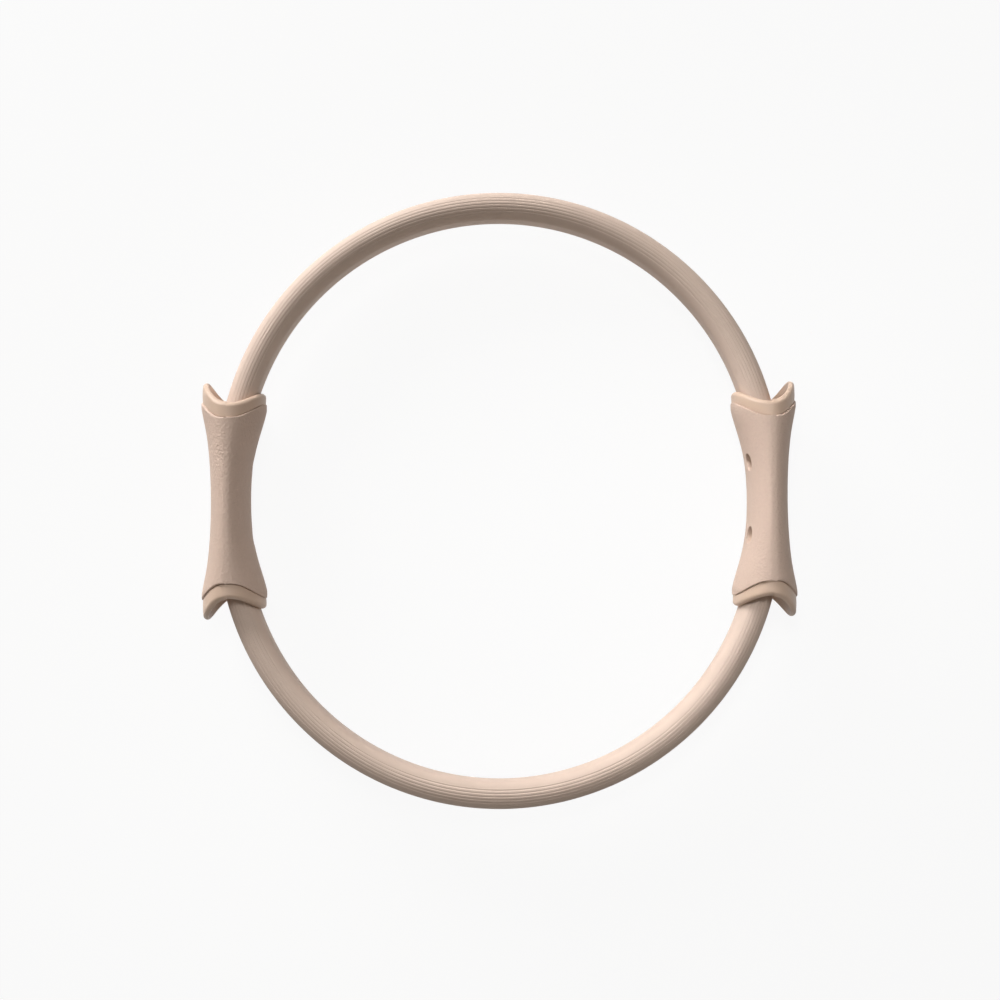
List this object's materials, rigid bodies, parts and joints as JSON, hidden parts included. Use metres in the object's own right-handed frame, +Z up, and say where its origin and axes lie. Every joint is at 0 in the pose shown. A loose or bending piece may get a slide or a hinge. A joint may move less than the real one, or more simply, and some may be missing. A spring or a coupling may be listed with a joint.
{
  "type": "pilates ring",
  "caption": "Flexible hoop of sprung strip in a ribbed sleeve, with a waisted soft-skinned grip on each side, squeezed or pulled apart for pilates exercise.",
  "frame": {"origin": "on the floor at the middle of the ring, which lies flat on its grips", "axes": "+X towards the right grip, +Y along the grips towards the upper half hoop, +Z up along the ring's axis"},
  "size_m": [0.3694, 0.381, 0.055],
  "materials": {
    "glass_fibre": "pultruded glass fibre strip, smooth and slightly translucent yellow",
    "sleeve_rubber": "matte pale beige extruded soft rubber with fine lengthwise ribs",
    "shell_plastic": "satin warm beige moulded plastic",
    "grip_rubber": "matte pinkish beige soft skin with a fine leather-like grain",
    "screw_steel": "plain zinc-plated steel"
  },
  "bodies": {
    "hoop": {"upper_spring": "glass_fibre", "lower_spring": "glass_fibre", "upper_sleeve": "sleeve_rubber", "lower_sleeve": "sleeve_rubber"},
    "left_handle": {"left_outer_shell": "shell_plastic", "left_inner_shell": "shell_plastic", "left_outer_grip": "grip_rubber", "left_inner_grip": "grip_rubber", "left_upper_screw": "screw_steel", "left_lower_screw": "screw_steel"},
    "right_handle": {"right_outer_shell": "shell_plastic", "right_inner_shell": "shell_plastic", "right_outer_grip": "grip_rubber", "right_inner_grip": "grip_rubber", "right_upper_screw": "screw_steel", "right_lower_screw": "screw_steel"}
  },
  "joints": [
    {"name": "right_squeeze", "type": "slide", "parent": "hoop", "child": "right_handle", "axis": [-1, 0, 0], "range_m": [-0.012, 0.03], "stiffness_N_per_m": 5000, "deforming": ["upper_spring", "lower_spring", "upper_sleeve", "lower_sleeve"]},
    {"name": "left_squeeze", "type": "slide", "parent": "hoop", "child": "left_handle", "axis": [1, 0, 0], "range_m": [-0.012, 0.03], "stiffness_N_per_m": 5000}
  ],
  "couplings": [
    {"joint": "left_squeeze", "follows": "right_squeeze", "ratio": 1}
  ]
}
